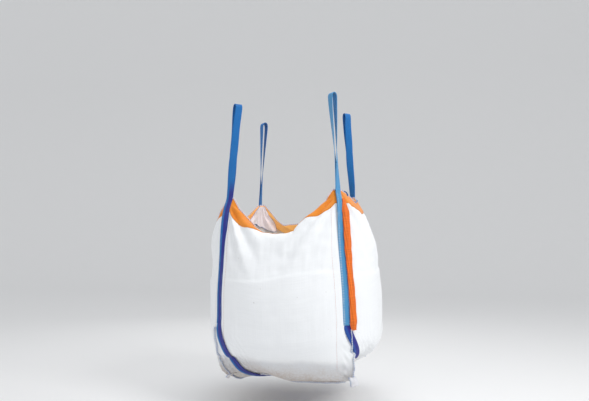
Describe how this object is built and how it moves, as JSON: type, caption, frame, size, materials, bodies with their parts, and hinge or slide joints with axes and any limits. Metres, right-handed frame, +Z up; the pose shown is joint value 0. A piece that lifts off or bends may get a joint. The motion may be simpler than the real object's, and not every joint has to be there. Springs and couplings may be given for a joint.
{
  "type": "filled bulk bag",
  "caption": "Filled open-top woven bulk bag hanging from webbing loops at its corners, with a coloured top band, seams, base slings and a granular load.",
  "frame": {"origin": "the lifting point, midway between the crowns of the four loops", "axes": "+Z up, the front panel faces -Y, the right panel faces +X"},
  "size_m": [1.1748, 1.1652, 1.8979],
  "materials": {
    "cloth": "woven polypropylene tape, satin",
    "base_cloth": "woven polypropylene tape, satin, dusty",
    "band": "dyed woven polypropylene, satin",
    "strip_cloth": "dyed woven polypropylene, bunched",
    "webbing": "woven polypropylene webbing, slightly glossy",
    "seam": "folded cloth edge overlocked with blue thread",
    "load": "loose, dry, matte"
  },
  "bodies": {
    "bag": {"panel_front": "cloth", "top_band_front": "band", "top_hem_front": "seam", "base_seam_front": "seam", "panel_right": "cloth", "top_band_right": "band", "top_hem_right": "seam", "base_seam_right": "seam", "panel_back": "cloth", "top_band_back": "band", "top_hem_back": "seam", "base_seam_back": "seam", "panel_left": "cloth", "top_band_left": "band", "top_hem_left": "seam", "base_seam_left": "seam", "base_panel": "base_cloth", "corner_strap_front_left": "webbing", "ear_patch_front_left": "cloth", "corner_seam_front_left": "seam", "corner_tail_front_left": "seam", "corner_strap_front_right": "webbing", "ear_patch_front_right": "cloth", "corner_seam_front_right": "seam", "corner_tail_front_right": "seam", "corner_strap_back_right": "webbing", "ear_patch_back_right": "cloth", "corner_seam_back_right": "seam", "corner_tail_back_right": "seam", "corner_strap_back_left": "webbing", "ear_patch_back_left": "cloth", "corner_seam_back_left": "seam", "corner_tail_back_left": "seam", "base_sling_upper": "webbing", "base_sling_lower": "webbing", "tie_front_right": "webbing", "tie_back_left": "webbing", "load": "load"},
    "loop_front_left_body": {"loop_front_left": "webbing"},
    "loop_front_right_body": {"loop_front_right": "webbing"},
    "loop_back_right_body": {"loop_back_right": "webbing"},
    "loop_back_left_body": {"loop_back_left": "webbing"},
    "hanging_strip_body": {"hanging_strip": "strip_cloth"}
  },
  "joints": [
    {"name": "loop_front_left_fold", "type": "hinge", "parent": "bag", "child": "loop_front_left_body", "pos_m": [-0.35835, -0.35835, -0.65529], "axis": [0.7071, -0.7071, 0], "range_deg": [0, 140]},
    {"name": "loop_front_right_fold", "type": "hinge", "parent": "bag", "child": "loop_front_right_body", "pos_m": [0.35835, -0.35835, -0.60871], "axis": [0.7071, 0.7071, 0], "range_deg": [0, 140]},
    {"name": "loop_back_right_fold", "type": "hinge", "parent": "bag", "child": "loop_back_right_body", "pos_m": [0.35835, 0.35835, -0.60871], "axis": [-0.7071, 0.7071, 0], "range_deg": [0, 140]},
    {"name": "loop_back_left_fold", "type": "hinge", "parent": "bag", "child": "loop_back_left_body", "pos_m": [-0.35835, 0.35835, -0.65529], "axis": [-0.7071, -0.7071, 0], "range_deg": [0, 140]},
    {"name": "hanging_strip_swing", "type": "hinge", "parent": "bag", "child": "hanging_strip_body", "pos_m": [0.4098, -0.3528, -0.6807], "axis": [0, -1, 0], "range_deg": [0, 55]}
  ]
}
